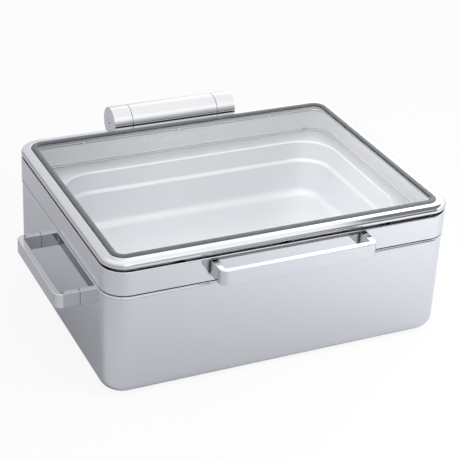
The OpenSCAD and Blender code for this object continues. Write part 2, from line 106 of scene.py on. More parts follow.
def number(name, description, value, unit="NONE"):
    """A value that a user may change."""
    return bpy.props.FloatProperty(name=name, description=description, default=value, unit=unit, precision=4)


def length(name, description, millimetres):
    """A length that a user may change, given in millimetres and kept in metres."""
    return number(name, description, millimetres * MM, "LENGTH")


def colour(name, description, code):
    """A colour that a user may change, given as an sRGB hex code."""
    return bpy.props.FloatVectorProperty(name=name, description=description, default=linear(code),
                                         subtype="COLOR", size=4, min=0.0, max=1.0)


class DishSizes(bpy.types.PropertyGroup):
    """Sizes of the dish that its packed boxes don't give"""

    corner: length("Lid corner", "Plan radius of the lid's corners", 40)
    sheet: length("Sheet", "Thickness of the pressed steel", 1)
    fold: length("Fold", "Outer radius of the pressed folds", 2.4)
    curl: length("Curl", "Outer radius of the crowned frame's curled foot", 4.2)
    burr: length("Cut edge", "Rounding of the sheet's cut edges", 0.2)
    base_inset: length("Base inset", "Step from the lid's skirt in to the base's wall", 1)
    floor_edge: length("Bottom edge", "Radius of the base's bottom edge", 22)
    bead: length("Bead", "Height of the bead under the base's rim", 4)
    bead_out: length("Bead depth", "How far the bead stands out of the wall", 1.2)
    hem: length("Hem", "Width of the hem under the skirt", 9)
    top_flange: length("Skirt flange", "Width of the flange on the skirt's top", 16.3)
    seam: length("Seam", "Open line between the skirt and the crowned frame", 3)
    crown: length("Crowned frame", "Width of the frame round the window", 17)
    lip: length("Frame lip", "Upright lip at the frame's outer edge", 4.4)
    roll: length("Frame roll", "Radius of the frame's outer edge", 8)
    slope: number("Frame slope", "Slope of the frame's top", math.radians(3), "ROTATION")
    edge: length("Frame edge", "Radius of the frame's inner edge", 1.8)
    shelf: length("Window shelf", "Width of the shelf under the gasket", 8)
    gasket: length("Gasket", "Width of the silicone channel", 10)
    gasket_foot: length("Gasket foot", "Chamfer under the channel's outer side", 2)
    gasket_web: length("Gasket web", "Silicone outside the glass's edge", 3)
    gasket_lip: length("Gasket lip", "Silicone under the glass", 2.5)
    slack: length("Slack", "Gap between the pane and the channel's lips", 0.05)
    gasket_side: length("Gasket shoulder", "Radius of the upper lip's two shoulders", 2.121)
    gasket_top: length("Gasket crown", "Radius of the upper lip's crown", 13.245)
    glass_edge: length("Glass edge", "Ground edge of the pane", 0.5)
    deck: length("Deck corner", "Plan radius of the pan seat's deck", 60)
    land_x: length("Deck land", "Deck beside the pan's flange, at each end", 10)
    land_y: length("Deck shelf", "Deck before and behind the pan's flange", 28.5)
    pan_room: length("Pan room", "Room outside the pan's rounded lip", 0.5)
    pan_flange: length("Pan flange", "Width of the pan's flange", 11)
    pan_flange_corner: length("Pan flange corner", "Plan radius of the flange's corners", 50)
    pan_corner: length("Pan corner", "Plan radius of the pan's wall at the top", 60)
    pan_floor_edge: length("Pan bottom edge", "Radius of the pan's bottom edge", 18)
    pan_draft: length("Pan draft", "How far each length of the pan's wall draws in", 3)
    shoulder: length("Pan shoulder", "Width of the stacking shoulder", 5)
    shoulder_depth: length("Shoulder depth", "From the flange down to the stacking shoulder", 37)
    shoulder_fold: length("Shoulder fold", "Radius of the shoulder's two folds", 3)
    bar: length("Bar", "Thickness of the handles' flat bar", 11)
    bar_edge: length("Bar edge", "Rounding along the bar's edges", 1.1)
    bar_fold: length("Bar bend", "Outer radius of the bar's bends", 14)
    tube: length("Barrel wall", "Wall of the hinge's barrel", 4)
    barrel_edge: length("Barrel edge", "Rounding at the ends of the barrel, knuckles and pin screws", 0.5)
    pad: length("Barrel pad", "Width of the pad under the barrel", 130)
    post_foot: length("Post foot", "Thickness of a post's foot", 14)
    post_foot_height: length("Post foot height", "Height of a post's foot", 66)
    post_edge: length("Post edge", "Rounding of a post's cast edges", 2)
    post_room: length("Post room", "Room between a post and the lid's skirt", 1.2)
    post_inset: length("Post inset", "How far a post's column lies inside its knuckle's ends", 0.8)
    pin_fit: length("Pin fit", "Room round the pin in a post", 0.02)
    screw_room: length("Screw room", "Room round the pin screw in a post", 0.25)
    pin_shank: length("Pin screw shank", "Diameter of the pin screw", 8)
    pin_reach: length("Pin screw reach", "How far the pin screw goes into the pin", 12)
    pin_head: length("Pin screw head", "Diameter of the pin screw's head", 14)
    pin_head_depth: length("Pin screw depth", "Height of the pin screw's head", 4)
    pin_hex: length("Pin screw hex", "Width over the corners of the hex socket", 6.4)
    pin_hex_depth: length("Pin screw hex depth", "Depth of the hex socket", 3)
    crown_head: length("Frame screw head", "Diameter of the frame screws' heads", 7)
    crown_shank: length("Frame screw shank", "Diameter of the crowned frame's screws", 4)
    boss: length("Frame bosses", "Diameter of the crowned frame's screw bosses", 7)
    screw_pitch: length("Frame screw pitch", "Spacing of the frame's screws", 180)
    row_head: length("Wall screw head", "Height of the heads on the lid's inner wall", 3.5)
    row_shank: length("Wall screw shank", "Diameter of the screws in the lid's wall", 5)


class DishFinishes(bpy.types.PropertyGroup):
    """Colours of the finishes"""

    mirror: colour("Mirror steel", "Mirror-polished stainless sheet", "#CCCDCF")
    bar: colour("Bar steel", "Mirror-polished stainless bar", "#CBCCCE")
    satin: colour("Satin steel", "Satin drawn stainless", "#E9EAED")
    rolled: colour("Rolled", "Unpolished inner side of the sheet, and backing plates", "#FBFBFD")
    plate: colour("Plate steel", "Ground ferritic stainless", "#B2B2B4")
    plain: colour("Plain steel", "Plain stainless screws", "#DCDDE0")
    pin: colour("Pin steel", "Ground stainless pin", "#CFD1D3")
    bronze: colour("Bronze", "Sintered bronze bushes", "#B88A55")
    silicone: colour("Silicone", "Dark grey silicone", "#44494D")
    glass: colour("Glass", "Clear toughened glass", "#FDFEFE")


class DishStudio(bpy.types.PropertyGroup):
    """The camera, the light and the floor"""

    eye: bpy.props.FloatVectorProperty(
        name="Camera", description="Where the camera stands", default=(-0.93965, -1.95816, 1.30638),
        subtype="TRANSLATION", unit="LENGTH")
    heading: number("Heading", "Camera's turn to the right of +Y", 0.45027, "ROTATION")
    dip: number("Dip", "Camera's tilt below the horizon", 0.49597, "ROTATION")
    roll: number("Roll", "Camera's roll", 0.05132, "ROTATION")
    lens: number("Lens", "Focal length on a 36 mm sensor", 113.19, "CAMERA")
    floor: colour("Floor", "Pale studio floor", "#BBBCC0")
    left: colour("Left wall", "Shaded side of the studio", "#D2D2D6")
    right: colour("Right wall", "Lit side of the studio", "#FFFFFF")
    ceiling: colour("Ceiling", "Pale ceiling of the studio", "#F2F2F2")
    level: number("Sky level", "Strength of the studio's light", 1.6)
    key: number("Key lamp", "Power of the soft lamp on the right", 27.0, "POWER")


def put(tree, kind, inputs=None, **settings):
    """Add one node with its settings, values and links. A node given as a value is its first output."""
    node = tree.nodes.new("ShaderNode" + kind)
    for name, value in settings.items():
        setattr(node, name, value)
    for name, value in (inputs or {}).items():
        if isinstance(value, bpy.types.Node):
            value = value.outputs[0]
        if isinstance(value, bpy.types.NodeSocket):
            tree.links.new(value, node.inputs[name])
        else:
            node.inputs[name].default_value = value
    return node


def activate(piece, *others):
    """Select only these objects, with the first one active."""
    bpy.ops.object.select_all(action="DESELECT")
    for item in (piece, *others):
        item.select_set(True)
    bpy.context.view_layer.objects.active = piece


def settle():
    """Put the selected object's place, turn and size into its mesh."""
    bpy.ops.object.transform_apply(location=True, rotation=True, scale=True)


def begin(add, name, scale=(1, 1, 1), **settings):
    """Add a primitive at its size and place, with its place in its mesh."""
    bpy.ops.object.select_all(action="DESELECT")
    add(**settings)
    piece = bpy.context.active_object
    piece.name = name
    piece.data.name = name
    piece.scale = scale
    settle()
    return piece


def edit(piece):
    """Open a piece in edit mode, to select vertices."""
    activate(piece)
    bpy.ops.object.mode_set(mode="EDIT")
    bpy.ops.mesh.select_mode(type="VERT")


def leave():
    """Go back to object mode."""
    bpy.ops.object.mode_set(mode="OBJECT")


def take_all():
    """In edit mode, select the whole mesh."""
    bpy.ops.mesh.select_all(action="SELECT")


def pick(piece, kind, test):
    """In edit mode, select only the verts, edges or faces that pass a test on (middle, element)."""
    bpy.ops.mesh.select_mode(type=kind)
    bpy.ops.mesh.select_all(action="DESELECT")
    mesh = bmesh.from_edit_mesh(piece.data)
    for item in {"VERT": mesh.verts, "EDGE": mesh.edges, "FACE": mesh.faces}[kind]:
        points = [item.co] if kind == "VERT" else [v.co for v in item.verts]
        if test(sum(points, Vector()) / len(points), item):
            item.select_set(True)
    mesh.select_flush_mode()
    bmesh.update_edit_mesh(piece.data)


def push(vector):
    """Extrude what is selected."""
    bpy.ops.mesh.extrude_region_move(TRANSFORM_OT_translate={"value": tuple(vector)})


def merge(piece, reach):
    """Merge points that lie within reach of one another."""
    edit(piece)
    take_all()
    bpy.ops.mesh.remove_doubles(threshold=reach)
    leave()


def modify(piece, kind, **settings):
    """Add one modifier and apply it."""
    activate(piece)
    change = piece.modifiers.new(kind.title(), kind)
    for name, value in settings.items():
        setattr(change, name, value)
    bpy.ops.object.modifier_apply(modifier=change.name)


def combine(piece, tool, operation):
    """Join or cut a piece with a tool, remove the tool, and merge points that fall together."""
    modify(piece, "BOOLEAN", object=tool, operation=operation, solver="EXACT")
    bpy.data.objects.remove(tool)
    merge(piece, SAME)


def soften(piece, width, segments=2):
    """Round the sharp edges."""
    modify(piece, "BEVEL", width=width, segments=segments, limit_method="ANGLE", angle_limit=SHARP)


def smooth(piece):
    """Shade the bends smooth, and keep flat faces flat."""
    activate(piece)
    bpy.ops.object.shade_smooth_by_angle(angle=BENT)
    modify(piece, "WEIGHTED_NORMAL", keep_sharp=True)


def fit(piece, body, slot, *nodes, finish=None):
    """Give a piece its finish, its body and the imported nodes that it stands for."""
    piece.data.materials.clear()
    piece.data.materials.append(bpy.data.materials[finish or FINISHES[slot]])
    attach(piece, body)
    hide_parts(*nodes)


def point(name, place):
    """A mesh of one vertex to extrude from, in edit mode."""
    piece = begin(bpy.ops.mesh.primitive_plane_add, name, size=MM, location=place)
    edit(piece)
    take_all()
    bpy.ops.mesh.merge(type="CENTER")
    return piece


def quarter(name, centre, start, folds=()):
    """Fold a sheet's section from a point, and run it round the +X +Y quarter of a rounded rectangle.

    centre is the plan centre of the +X +Y corner. start is (distance out from that centre, height), and
    the path sets out away from it. A fold is ("out_to", distance), ("up_to", height), ("bend", radius,
    degrees to the left) or ("corner_at", height, radius, degrees), which rounds a corner at that height.
    The spin operator turns clockwise round its axis.
    """
    x, y = centre
    out, up, heading = start[0], start[1], 0.0
    piece = point(name, (x + out, y, up))
    for kind, value, *turn in folds:
        way = Vector((math.cos(heading), 0, math.sin(heading)))
        if kind != "bend":
            travel = (value - out) / way.x if kind == "out_to" else (value - up) / way.z
            if kind == "corner_at":
                travel -= turn[0] * math.tan(abs(math.radians(turn[1])) / 2)
            bpy.ops.mesh.extrude_vertices_move(TRANSFORM_OT_translate={"value": way * travel})
            out, up = out + way.x * travel, up + way.z * travel
        if kind == "bend" or kind == "corner_at":
            radius, degrees = (value, *turn) if kind == "bend" else turn
            side = math.copysign(1, degrees)
            middle = Vector((out, 0, up)) + side * radius * Vector((-way.z, 0, way.x))
            heading += math.radians(degrees)
            if radius:
                bpy.ops.mesh.spin(steps=max(3, round(abs(degrees) / 6)), angle=abs(math.radians(degrees)),
                                  center=middle + Vector((x, y, 0)), axis=(0, side, 0))
                out = middle.x + side * radius * math.sin(heading)
                up = middle.z - side * radius * math.cos(heading)
    take_all()
    bpy.ops.mesh.spin(steps=24, angle=math.pi / 2, center=(x, y, 0), axis=(0, 0, -1))
    push((-x, 0, 0))
    pick(piece, "VERT", lambda at, item: abs(at.y - y) < NEAR and at.x > x)
    push((0, -y, 0))
    leave()
    return piece


def reflect(piece, axes):
    """Mirror a piece on these axes, and merge its seams."""
    modify(piece, "MIRROR", use_axis=axes, merge_threshold=NEAR)
    merge(piece, NEAR)


def sweep(name, centre, start, folds):
    """Run a folded section all round a rounded rectangle."""
    piece = quarter(name, centre, start, folds)
    reflect(piece, ALL_ROUND)
    return piece


def face_out(piece):
    """Point the faces outwards, or all the same way."""
    edit(piece)
    take_all()
    bpy.ops.mesh.normals_make_consistent(inside=False)
    leave()


def outward(piece, place, way):
    """Turn all faces one way, so that the face nearest to a place looks along way."""
    face_out(piece)
    edit(piece)
    take_all()
    mesh = bmesh.from_edit_mesh(piece.data)
    nearest = min(mesh.faces, key=lambda face: (face.calc_center_median() - Vector(place)).length)
    if nearest.normal.dot(Vector(way)) < 0:
        bpy.ops.mesh.flip_normals()
    leave()


def fill_at(piece, height):
    """Close the open edges at a height with one flat face."""
    edit(piece)
    pick(piece, "EDGE", lambda at, edge: edge.is_boundary and abs(at.z - height) < NEAR)
    bpy.ops.mesh.edge_face_add()
    leave()


def bridge_at(piece, height):
    """Bridge the flat band between the two open edges of a quarter at a height."""
    edit(piece)
    pick(piece, "EDGE", lambda at, edge: len(edge.link_faces) < 2 and abs(at.z - height) < NEAR
         and min(at.x, at.y) > NEAR)
    bpy.ops.mesh.bridge_edge_loops()
    leave()


def join(name, pieces):
    """Join pieces into one."""
    activate(*pieces)
    bpy.ops.object.join()
    pieces[0].name = name
    return pieces[0]


def press(piece, thickness, burr):
    """Give a folded skin its sheet's thickness, inwards, and round its cut edges."""
    modify(piece, "SOLIDIFY", thickness=thickness, offset=-1.0, use_even_offset=True,
           use_quality_normals=True)
    soften(piece, burr)
    smooth(piece)


def lid_corner(sizes):
    """Plan centre of the lid's and base's corners."""
    return SKIRT_HIGH.x - sizes.corner, SKIRT_HIGH.y - sizes.corner


def pan_corner(inset, radius):
    """Plan centre of a rounded rectangle that lies inside the pan's flange."""
    return PAN_HIGH.x - inset - radius, PAN_HIGH.y - inset - radius


def bare(owner):
    """Give a material or world an empty node tree."""
    owner.use_nodes = True
    owner.node_tree.nodes.clear()
    return owner.node_tree


def steel(name, tint, rough, grain, ripple, depth, painted_shade=None, back=None):
    """A steel whose roughness follows its grain (mm on each axis), over a ripple of a width and depth (mm).

    The seventh argument, for the painted shade, is how far (mm) a seam or corner is felt, and the open share
    of the view at which that painted shade, a dark colour mixed in by ambient occlusion, begins and is full.
    back is the tint and roughness of a sheet's unpolished side, on faces that look to the dish's middle.
    """
    tree = bare(bpy.data.materials.new(name))
    where = put(tree, "TexCoord")
    place = where.outputs["Object"]
    lay = put(tree, "Mapping", {"Vector": place, "Scale": [1 / (g * MM) for g in grain]})
    marks = put(tree, "TexNoise", {"Vector": lay, "Scale": 1.0, "Detail": 3.0})
    gloss = put(tree, "MapRange", {
        "Value": marks, "From Min": 0.3, "From Max": 0.7, "To Min": rough[0], "To Max": rough[1]})
    swell = put(tree, "TexNoise", {"Vector": place, "Scale": 1 / (ripple * MM), "Detail": 1.0})
    bump = put(tree, "Bump", {"Height": swell, "Distance": depth * MM})
    # Painted shade: ambient occlusion mixes dark #1E2022 into the tint in seams, corners and crevices,
    # standing for the shadow there.
    if painted_shade:
        near = put(tree, "AmbientOcclusion", {"Distance": painted_shade[0] * MM}, samples=8)
        dark = put(tree, "MapRange", {
            "Value": near.outputs["AO"], "From Min": painted_shade[1], "From Max": painted_shade[2]}, **SOFT)
        tint = put(tree, "MixRGB", {"Fac": dark, "Color1": tint, "Color2": linear("#1E2022")})
    if back:
        plan = put(tree, "VectorMath", {0: place, 1: (1, 1, 0)}, operation="MULTIPLY")
        facing = put(tree, "VectorMath", {0: plan, 1: where.outputs["Normal"]}, operation="DOT_PRODUCT")
        inner = put(tree, "Math", {0: facing.outputs["Value"], 1: -0.008}, operation="LESS_THAN")
        gloss = put(tree, "Mix", {"Factor": inner, "A": gloss, "B": back[1]})
        tint = put(tree, "MixRGB", {"Fac": inner, "Color1": tint, "Color2": back[0]})
    shade = put(tree, "BsdfPrincipled", {
        "Base Color": tint, "Metallic": 1.0, "Roughness": gloss, "Normal": bump})
    put(tree, "OutputMaterial", {"Surface": shade})


class DISH_OT_finishes(bpy.types.Operator):
    """Make the dish's finishes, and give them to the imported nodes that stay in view"""

    bl_idname = "dish.finishes"
    bl_label = "Finishes"

    def execute(self, context):
        tints = context.scene.dish_finishes
        # Stainless 304 sheet, mirror-polished: sharp reflections that bend a little over the drawn
        # sheet's faint ripple, with softer patches where the buffing wheel passed, and painted shade in the
        # seams: dark lines mixed in by ambient occlusion, reaching further on the lid. The inner side stays
        # dull as rolled.
        for name, reach in (("Mirror-polished stainless sheet", 5), ("Mirror-polished stainless lid", 10)):
            steel(name, tints.mirror, (0.03, 0.06), (14, 14, 5), 110, 0.05, (reach, 0.9, 0.5),
                  (tints.rolled, 0.7))
        # Stainless flat bar and castings, mirror-polished: heavier than sheet, so without ripple. Painted
        # shade darkens only the tightest creases.
        steel("Mirror-polished stainless bar", tints.bar, (0.03, 0.07), (9, 9, 4), 60, 0.01,
              (0.6, 0.65, 0.3))
        # Stainless sheet as drawn, satin: broad soft reflections with a fine grain along the draw, and
        # painted shade in its seams and corners. The grain is drawn about four times too coarse so that it
        # shows.
        steel("Satin drawn stainless", tints.satin, (0.5, 0.58), (1.6, 1.6, 14), 60, 0.02, (5, 0.6, 0.3))
        # Ferritic stainless plate, ground flat: dull lines along the grinding belt.
        steel("Ground ferritic stainless", tints.plate, (0.32, 0.5), (40, 0.9, 5), 25, 0.03)
        # Stainless as rolled, for the backing plates and the screws in the lid's wall: dull and pale,
        # like the sheet's inner side.
        steel("Rolled stainless strip", tints.rolled, (0.66, 0.74), (12, 12, 12), 60, 0.02)
        # Plain stainless screws: grey, neither polished nor painted.
        # Painted shade by ambient occlusion darkens their sockets and the creases round them.
        steel("Plain stainless", tints.plain, (0.4, 0.55), (2.5, 2.5, 2.5), 6, 0.02, (4, 0.6, 0.2))
        # Centreless-ground stainless pin: bright, with fine rings round its length.
        steel("Ground stainless pin", tints.pin, (0.14, 0.24), (0.8, 12, 12), 30, 0.01)
        # Sintered bronze: warm and dull, with fine pores.
        steel("Sintered bronze", tints.bronze, (0.4, 0.6), (0.7, 0.7, 0.7), 0.7, 0.02)

        # Moulded silicone, dark grey: a soft, nearly matt skin with faint dusty patches.
        tree = bare(bpy.data.materials.new("Moulded grey silicone"))
        place = put(tree, "TexCoord").outputs["Object"]
        dust = put(tree, "TexNoise", {"Vector": place, "Scale": 1 / (12 * MM), "Detail": 4.0})
        bloom = put(tree, "MapRange", {
            "Value": dust, "From Min": 0.35, "From Max": 0.7, "To Min": 0.0, "To Max": 0.1})
        tone = put(tree, "MixRGB", {"Fac": bloom, "Color1": tints.silicone, "Color2": linear("#8A8F93")})
        skin = put(tree, "MapRange", {
            "Value": dust, "From Min": 0.3, "From Max": 0.7, "To Min": 0.3, "To Max": 0.42})
        pores = put(tree, "TexNoise", {"Vector": place, "Scale": 1 / (0.9 * MM), "Detail": 2.0})
        bump = put(tree, "Bump", {"Height": pores, "Distance": 0.03 * MM})
        shade = put(tree, "BsdfPrincipled", {
            "Base Color": tone, "Roughness": skin, "IOR": 1.43, "Normal": bump})
        put(tree, "OutputMaterial", {"Surface": shade})

        # Toughened soda-lime glass: clear, with a faint wave in its reflection from the furnace rollers.
        # The pane is thin, so light passes straight through, and its outer faces reflect for both.
        roller_pitch = 180 * MM
        tree = bare(bpy.data.materials.new("Clear toughened glass"))
        place = put(tree, "TexCoord").outputs["Object"]
        rollers = put(tree, "TexWave", {
            "Vector": place, "Scale": WAVE / roller_pitch, "Distortion": 0.6}, bands_direction="X")
        bump = put(tree, "Bump", {"Height": rollers.outputs["Fac"], "Distance": 0.01 * MM})
        sheen = put(tree, "Fresnel", {"IOR": 1.52, "Normal": bump})
        inner = put(tree, "NewGeometry").outputs["Backfacing"]
        faces = put(tree, "MapRange", {"Value": inner, "To Min": 1.8, "To Max": 0.0})
        share = put(tree, "Math", {0: sheen, 1: faces}, operation="MULTIPLY", use_clamp=True)
        clear = put(tree, "BsdfTransparent", {"Color": tints.glass})
        gloss = put(tree, "BsdfAnisotropic", {"Roughness": 0.0, "Normal": bump})
        both = put(tree, "MixShader", {0: share, 1: clear, 2: gloss})
        put(tree, "OutputMaterial", {"Surface": both})

        for part in frame["record"]["subparts"]:
            for slot in frame["nodes"][part["node"]].material_slots:
                slot.material = bpy.data.materials[FINISHES[part["material_slot"]]]
        for node in ("side_handle_backing", "post_backing", "front_handle_backing", "barrel_backing"):
            for slot in frame["nodes"][node].material_slots:
                slot.material = bpy.data.materials["Rolled stainless strip"]
        return {"FINISHED"}


class DISH_OT_base(bpy.types.Operator):
    """Draw the base: a flat floor, a rounded bottom edge, upright walls and a bead at the rim"""

    bl_idname = "dish.base"
    bl_label = "Base"

    def execute(self, context):
        sizes = context.scene.dish_sizes
        wall = sizes.corner - sizes.base_inset
        tilt = 2 * math.degrees(math.atan(2 * sizes.bead_out / sizes.bead))
        curl = sizes.bead / 4 / math.sin(math.radians(tilt))
        rim = BASE_HIGH.z
        base = sweep("base_drawn", lid_corner(sizes), (wall - sizes.floor_edge, BASE_LOW.z), [
            ("bend", sizes.floor_edge, 90), ("up_to", rim - sizes.bead),
            ("bend", curl, -tilt), ("bend", curl, 2 * tilt), ("bend", curl, -tilt)])
        fill_at(base, BASE_LOW.z)
        outward(base, (SKIRT_HIGH.x, 0, rim / 2), (1, 0, 0))
        press(base, sizes.sheet, sizes.burr / 2)
        fit(base, "base", "polished_steel", "base_shell")
        return {"FINISHED"}


class DISH_OT_pan(bpy.types.Operator):
    """Press the raised frame on the rim, and draw the food pan that hangs in it"""

    bl_idname = "dish.pan"
    bl_label = "Pan and its seat"

    def execute(self, context):
        sizes = context.scene.dish_sizes
        deck = SEAT_HIGH.z
        flange = SEAT_LOW.z + sizes.sheet
        rim = sizes.corner - sizes.base_inset
        room = sizes.fold + sizes.pan_room
        wall = PAN_HIGH.x - sizes.pan_flange
        riser = quarter("seat_riser", (PAN_HIGH.x + sizes.land_x - sizes.deck,
                                       PAN_HIGH.y + sizes.land_y - sizes.deck),
                        (sizes.deck + sizes.fold, flange), [
            ("bend", 0, 180), ("bend", sizes.fold, -90), ("up_to", deck - sizes.fold),
            ("bend", sizes.fold, 90)])
        outer = quarter("seat_rim", lid_corner(sizes), (rim, flange))
        inner = quarter("seat_opening", pan_corner(sizes.pan_flange, sizes.pan_corner),
                        (sizes.pan_corner + room, deck))
        seat = join("pan_seat", [riser, outer, inner])
        bridge_at(seat, flange)
        bridge_at(seat, deck)
        reflect(seat, ALL_ROUND)
        outward(seat, (PAN_HIGH.x, 0, deck), (0, 0, 1))
        press(seat, sizes.sheet, sizes.burr)
        fit(seat, "base", "satin_steel", "pan_frame")

        lower = sizes.pan_corner - 2 * sizes.pan_draft - sizes.shoulder
        bend_z = deck - sizes.shoulder_depth
        low = math.degrees(math.atan2(bend_z - PAN_LOW.z - sizes.pan_floor_edge, sizes.pan_draft))
        high = math.degrees(math.atan2(deck - sizes.fold - bend_z - sizes.shoulder, sizes.pan_draft))
        body = quarter("pan_body", pan_corner(sizes.pan_flange, sizes.pan_corner),
                       (lower - sizes.pan_floor_edge, PAN_LOW.z), [
            ("bend", sizes.pan_floor_edge, low),
            ("corner_at", bend_z, sizes.shoulder_fold, 45 - low),
            ("corner_at", bend_z + sizes.shoulder, sizes.shoulder_fold, high - 45),
            ("up_to", deck - sizes.fold * (1 - math.cos(math.radians(high)))),
            ("bend", sizes.fold, -high)])
        brim = quarter("pan_brim", pan_corner(0, sizes.pan_flange_corner),
                       (sizes.pan_flange_corner, deck))
        pan = join("pan_drawn", [body, brim])
        bridge_at(pan, deck)
        reflect(pan, ALL_ROUND)
        fill_at(pan, PAN_LOW.z)
        outward(pan, (wall, 0, (PAN_LOW.z + deck) / 2), (1, 0, 0))
        press(pan, sizes.sheet, sizes.burr)
        fit(pan, "base", "satin_steel", "food_pan")
        return {"FINISHED"}


def bent_bar(name, span, reach, height, sizes):
    """A flat bar bent into two arms that end on y = 0, with its grip in front at -reach."""
    arm = reach - sizes.bar_fold
    bar = begin(bpy.ops.mesh.primitive_plane_add, name, scale=(sizes.bar, height, 1), size=1,
                location=(span / 2 - sizes.bar / 2, 0, 0), rotation=(math.pi / 2, 0, 0))
    edit(bar)
    take_all()
    bpy.ops.mesh.bevel(offset=sizes.bar_edge, segments=4, affect="VERTICES")
    take_all()
    bpy.ops.mesh.delete(type="ONLY_FACE")
    take_all()
    push((0, -arm, 0))
    bpy.ops.mesh.spin(steps=15, angle=math.pi / 2, center=(span / 2 - sizes.bar_fold, -arm, 0),
                      axis=(0, 0, 1))
    push((sizes.bar_fold - span / 2, 0, 0))
    pick(bar, "EDGE", lambda at, edge: edge.is_boundary and abs(at.y) < NEAR)
    bpy.ops.mesh.edge_face_add()
    leave()
    reflect(bar, (True, False, False))
    face_out(bar)
    return bar


class DISH_OT_handles(bpy.types.Operator):
    """Bend the lid's handle and the two side handles from flat bar"""

    bl_idname = "dish.handles"
    bl_label = "Handles"

    def execute(self, context):
        sizes = context.scene.dish_sizes
        height = FRONT_HIGH.z - FRONT_LOW.z
        front = bent_bar("bar_front", FRONT_HIGH.x - FRONT_LOW.x, FRONT_HIGH.y - FRONT_LOW.y, height, sizes)
        sides = [(front, "lid", "front_handle", 0.0,
                  (0, FRONT_HIGH.y, (FRONT_LOW.z + FRONT_HIGH.z) / 2))]
        for name, side, node in (("bar_left", -1, "side_handle_left"), ("bar_right", 1, "side_handle_right")):
            bar = bent_bar(name, SIDE_HIGH.y - SIDE_LOW.y, SIDE_HIGH.x - SIDE_LOW.x, height, sizes)
            sides.append((bar, "base", node, side * math.pi / 2,
                          (side * SIDE_LOW.x, 0, (SIDE_LOW.z + SIDE_HIGH.z) / 2)))
        for bar, body, node, turn, place in sides:
            activate(bar)
            bar.rotation_euler.z = turn
            bar.location = place
            settle()
            smooth(bar)
            fit(bar, body, "polished_bar", node)
        return {"FINISHED"}


class DISH_OT_skirt(bpy.types.Operator):
    """Fold the lid's skirt: a hem below, an upright band and a flange on top"""

    bl_idname = "dish.skirt"
    bl_label = "Lid skirt"

    def execute(self, context):
        sizes = context.scene.dish_sizes
        skirt = sweep("lid_band", lid_corner(sizes), (sizes.corner - sizes.hem, SKIRT_LOW.z), [
            ("out_to", sizes.corner - sizes.fold), ("bend", sizes.fold, 90),
            ("up_to", SKIRT_HIGH.z - sizes.fold), ("bend", sizes.fold, 90),
            ("out_to", sizes.corner - sizes.top_flange)])
        outward(skirt, (SKIRT_HIGH.x, 0, (SKIRT_LOW.z + SKIRT_HIGH.z) / 2), (1, 0, 0))
        press(skirt, sizes.sheet, sizes.burr)
        fit(skirt, "lid", "polished_steel", "lid_skirt", finish="Mirror-polished stainless lid")
        return {"FINISHED"}


def copies(name, piece, places):
    """Copy a piece to each place, each with its own mesh, and join the copies."""
    made = []
    for place in places:
        activate(piece)
        bpy.ops.object.duplicate()
        copy = bpy.context.active_object
        copy.matrix_world = place
        settle()
        made.append(copy)
    bpy.data.objects.remove(piece)
    return join(name, made)


def crown_places(sizes):
    """Where the crowned frame is screwed down: three places in front and behind, and one at each side."""
    row_x = CROWN_SCREWS_HIGH.x - sizes.crown_head / 2
    row_y = CROWN_SCREWS_HIGH.y - sizes.crown_head / 2
    rows = [(x * sizes.screw_pitch, y * row_y) for x in (-1, 0, 1) for y in (-1, 1)]
    return rows + [(-row_x, 0), (row_x, 0)]


class DISH_OT_crown(bpy.types.Operator):
    """Fold the crowned frame: curled foot, rolled edge, rising top and the pocket for the gasket"""

    bl_idname = "dish.crown"
    bl_label = "Crowned frame"

    def execute(self, context):
        sizes = context.scene.dish_sizes
        foot = SKIRT_HIGH.z + sizes.seam
        inner = sizes.corner - sizes.crown
        slope = math.degrees(sizes.slope)
        crown = sweep("lid_crown", lid_corner(sizes), (sizes.corner - sizes.curl, foot), [
            ("bend", sizes.curl, 90), ("up_to", foot + sizes.lip), ("bend", sizes.roll, 90 - slope),
            ("out_to", inner + sizes.edge * (1 + math.sin(math.radians(slope)))),
            ("bend", sizes.edge, 90 + slope), ("up_to", GASKET_LOW.z + sizes.edge),
            ("bend", sizes.edge, -90), ("out_to", inner - sizes.shelf)])
        outward(crown, (SKIRT_HIGH.x, 0, foot + sizes.lip), (1, 0, 0))
        press(crown, sizes.sheet, sizes.burr)

        top = CROWN_SCREWS_HIGH.z + 2 * sizes.sheet
        boss = begin(bpy.ops.mesh.primitive_cylinder_add, "crown_boss", vertices=48, radius=sizes.boss / 2,
                     depth=top - SKIRT_HIGH.z, location=(0, 0, (top + SKIRT_HIGH.z) / 2))
        edit(boss)
        pick(boss, "FACE", lambda at, face: abs(at.z - SKIRT_HIGH.z) < NEAR)
        bpy.ops.mesh.inset(thickness=(sizes.boss - sizes.crown_shank) / 2 - sizes.slack)
        push((0, 0, top - sizes.sheet - SKIRT_HIGH.z))
        leave()
        smooth(boss)
        bosses = copies("crown_bosses", boss, [
            Matrix.Translation((x, y, 0)) for x, y in crown_places(sizes)])
        crown = join("lid_crown", [crown, bosses])
        fit(crown, "lid", "polished_steel", "lid_frame", finish="Mirror-polished stainless lid")
        return {"FINISHED"}


